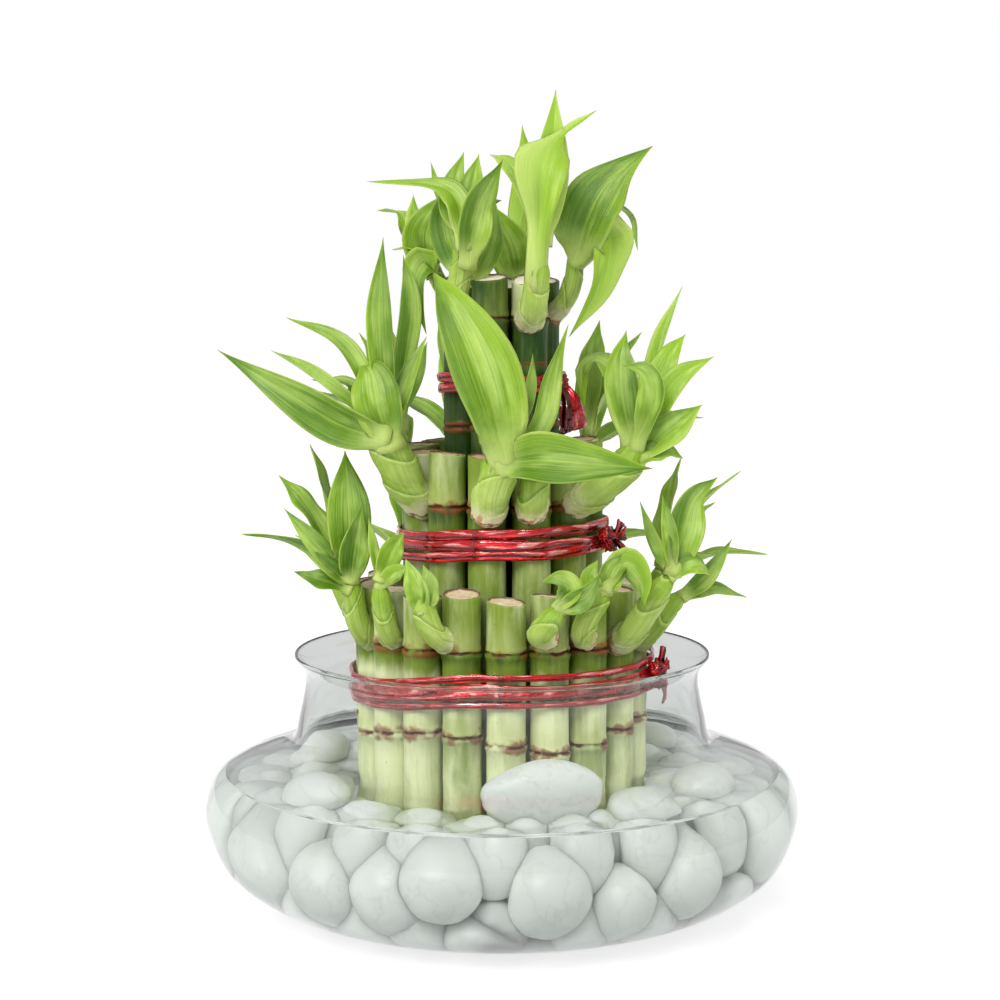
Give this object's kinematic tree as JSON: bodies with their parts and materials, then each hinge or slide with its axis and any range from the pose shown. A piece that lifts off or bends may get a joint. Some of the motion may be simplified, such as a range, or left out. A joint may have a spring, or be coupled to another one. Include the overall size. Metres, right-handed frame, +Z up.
{
  "type": "lucky bamboo",
  "caption": "Three-tier lucky bamboo of upright canes with leafy shoots, tied with red foil ribbon, standing in pebbles and water in a low round glass bowl.",
  "frame": {"origin": "centre of the underside of the bowl, on the surface that it stands on", "axes": "+Z up along the canes, -Y towards the side that shows in the picture, +X to its right"},
  "size_m": [0.15, 0.1508, 0.2041],
  "materials": {
    "glass": "clear blown glass with a rounded rim",
    "water": "clear still water",
    "pebble": "polished white river pebble, tumbled smooth",
    "cane": "living plant: satin green cane with brown scars, waxy yellow-green leaf",
    "foil": "crumpled metallised red foil ribbon"
  },
  "bodies": {
    "root": {"bowl": "glass", "water": "water", "pebbles_floor": "pebble", "pebbles_inner": "pebble", "pebbles_wall": "pebble", "pebble_surface_1": "pebble", "pebble_surface_2": "pebble", "pebble_surface_3": "pebble", "pebble_surface_4": "pebble", "pebble_surface_5": "pebble", "pebble_surface_6": "pebble", "pebble_surface_7": "pebble", "cane_centre": "cane", "cane_top_0": "cane", "cane_top_1": "cane", "cane_top_2": "cane", "cane_top_3": "cane", "cane_top_4": "cane", "cane_top_5": "cane", "cane_mid_0": "cane", "cane_mid_1": "cane", "cane_mid_2": "cane", "cane_mid_3": "cane", "cane_mid_4": "cane", "cane_mid_5": "cane", "cane_mid_6": "cane", "cane_mid_7": "cane", "cane_mid_8": "cane", "cane_mid_9": "cane", "cane_mid_10": "cane", "cane_mid_11": "cane", "cane_low_0": "cane", "cane_low_1": "cane", "cane_low_2": "cane", "cane_low_3": "cane", "cane_low_4": "cane", "cane_low_5": "cane", "cane_low_6": "cane", "cane_low_7": "cane", "cane_low_8": "cane", "cane_low_9": "cane", "cane_low_10": "cane", "cane_low_11": "cane", "cane_low_12": "cane", "cane_low_13": "cane", "cane_low_14": "cane", "cane_low_15": "cane", "cane_low_16": "cane", "cane_low_17": "cane", "cane_low_18": "cane", "ribbon_top": "foil", "ribbon_middle": "foil", "ribbon_bottom": "foil"}
  },
  "joints": []
}
